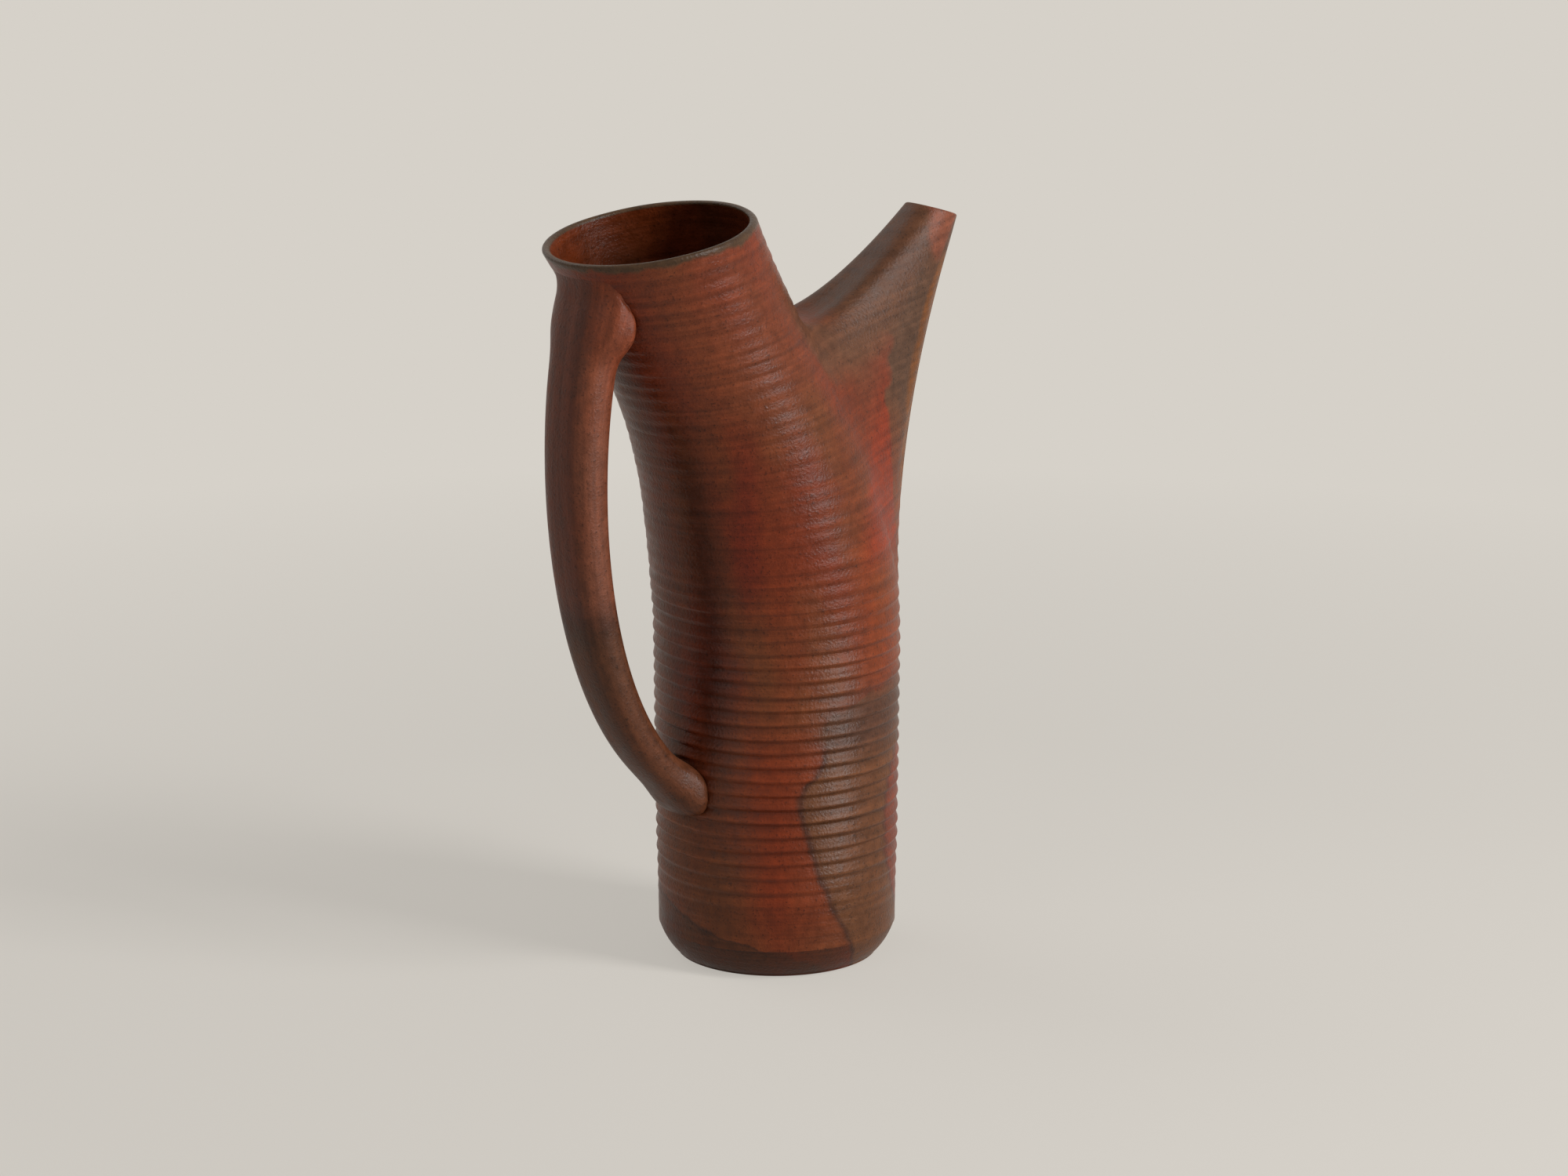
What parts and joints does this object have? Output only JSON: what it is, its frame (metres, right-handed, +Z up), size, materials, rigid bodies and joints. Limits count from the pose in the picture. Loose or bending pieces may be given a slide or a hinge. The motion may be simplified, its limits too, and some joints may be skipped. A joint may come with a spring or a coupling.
{
  "type": "stoneware jug",
  "caption": "Tall unglazed stoneware jug with a ringed cylindrical body, bevelled foot, leaning open neck, tapered pouring spout and a pulled strap handle.",
  "frame": {"origin": "middle of the foot's flat underside", "axes": "+Z up along the straight lower body, +X towards the spout, -X towards the handle"},
  "size_m": [0.2096, 0.1032, 0.3205],
  "materials": {
    "foot_clay": "unglazed wood-fired stoneware, trimmed, dark and dry",
    "body_clay": "unglazed wood-fired stoneware, satin, red-brown with flashing",
    "spout_clay": "unglazed wood-fired stoneware, satin, grey-brown",
    "handle_clay": "unglazed wood-fired stoneware, satin, pulled"
  },
  "bodies": {
    "root": {"base_floor": "foot_clay", "lower_body": "body_clay", "upper_body": "body_clay", "spout": "spout_clay", "handle": "handle_clay"}
  },
  "joints": []
}
